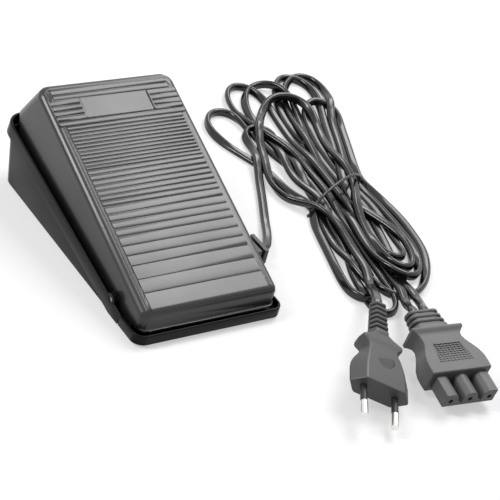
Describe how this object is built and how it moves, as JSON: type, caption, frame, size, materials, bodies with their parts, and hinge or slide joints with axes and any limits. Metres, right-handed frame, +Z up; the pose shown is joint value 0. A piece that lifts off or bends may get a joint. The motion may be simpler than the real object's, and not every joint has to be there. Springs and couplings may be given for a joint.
{
  "type": "electronic foot speed control",
  "caption": "Wedge-shaped foot speed controller with a hinged ribbed treadle, flat leads in a tied hank, a mains plug and a machine connector.",
  "frame": {"origin": "on the floor below the middle of the base tray's box", "axes": "+Z up, +Y towards the high toe end of the treadle, +X towards the side where the lead comes out"},
  "size_m": [0.253, 0.3095, 0.066],
  "materials": {
    "base": "satin moulded black plastic",
    "board": "phenolic circuit board",
    "capacitor": "moulded box",
    "case": "moulded case",
    "clamp": "moulded",
    "connector": "moulded flexible plastic",
    "contacts": "brass",
    "copper": "enamelled copper wire",
    "cord": "plastic covered flat cord",
    "device": "moulded device body",
    "feet": "matt black rubber",
    "ferrite": "pressed ferrite",
    "gland": "moulded flexible plastic",
    "pins": "nickel plated brass",
    "plug": "moulded flexible plastic",
    "plunger": "natural nylon",
    "resistor": "lacquered",
    "rod": "drawn steel",
    "screws": "zinc plated",
    "sink": "extruded aluminium",
    "sleeve": "insulating sleeve",
    "spring": "spring wire",
    "terminal": "moulded",
    "tie": "plastic covered wire",
    "treadle": "semi-gloss moulded black plastic",
    "trimmer": "moulded",
    "wire": "insulated wire"
  },
  "bodies": {
    "base": {"base_tray": "base", "rubber_feet": "feet", "hinge_rod": "rod", "circuit_board": "board", "board_screws": "screws", "control_case": "case", "return_spring": "spring", "triac": "device", "heat_sink": "sink", "choke_core": "ferrite", "choke_winding": "copper", "suppressor_capacitor": "capacitor", "resistors": "resistor", "trimmer": "trimmer", "terminal_block": "terminal", "terminal_screws": "screws", "lead_wires": "wire", "inner_lead": "cord", "rest_pads": "feet", "cord_gland": "gland", "cord_clamp": "clamp", "clamp_screws": "screws", "plug_body": "plug", "plug_pins": "pins", "pin_sleeves": "sleeve", "connector_body": "connector", "connector_contacts": "contacts", "cord_tie": "tie", "pedal_cord_run": "cord", "plug_cord_run": "cord", "connector_cord_runs": "cord", "cord_hank": "cord"},
    "treadle": {"treadle_cover": "treadle"},
    "plunger": {"control_plunger": "plunger"}
  },
  "joints": [
    {"name": "treadle_hinge", "type": "hinge", "parent": "base", "child": "treadle", "pos_m": [0, -0.051, 0.0093], "axis": [-1, 0, 0], "range_deg": [0, 4], "stiffness_Nm_per_rad": 12, "springref_deg": -6.88, "deforming": ["return_spring"]},
    {"name": "plunger_slide", "type": "slide", "parent": "base", "child": "plunger", "axis": [0, 0, -1], "range_m": [0, 0.00419], "stiffness_N_per_m": 60, "springref_m": -0.004}
  ],
  "couplings": [
    {"joint": "plunger_slide", "follows": "treadle_hinge", "m_per_rad": 0.06}
  ]
}
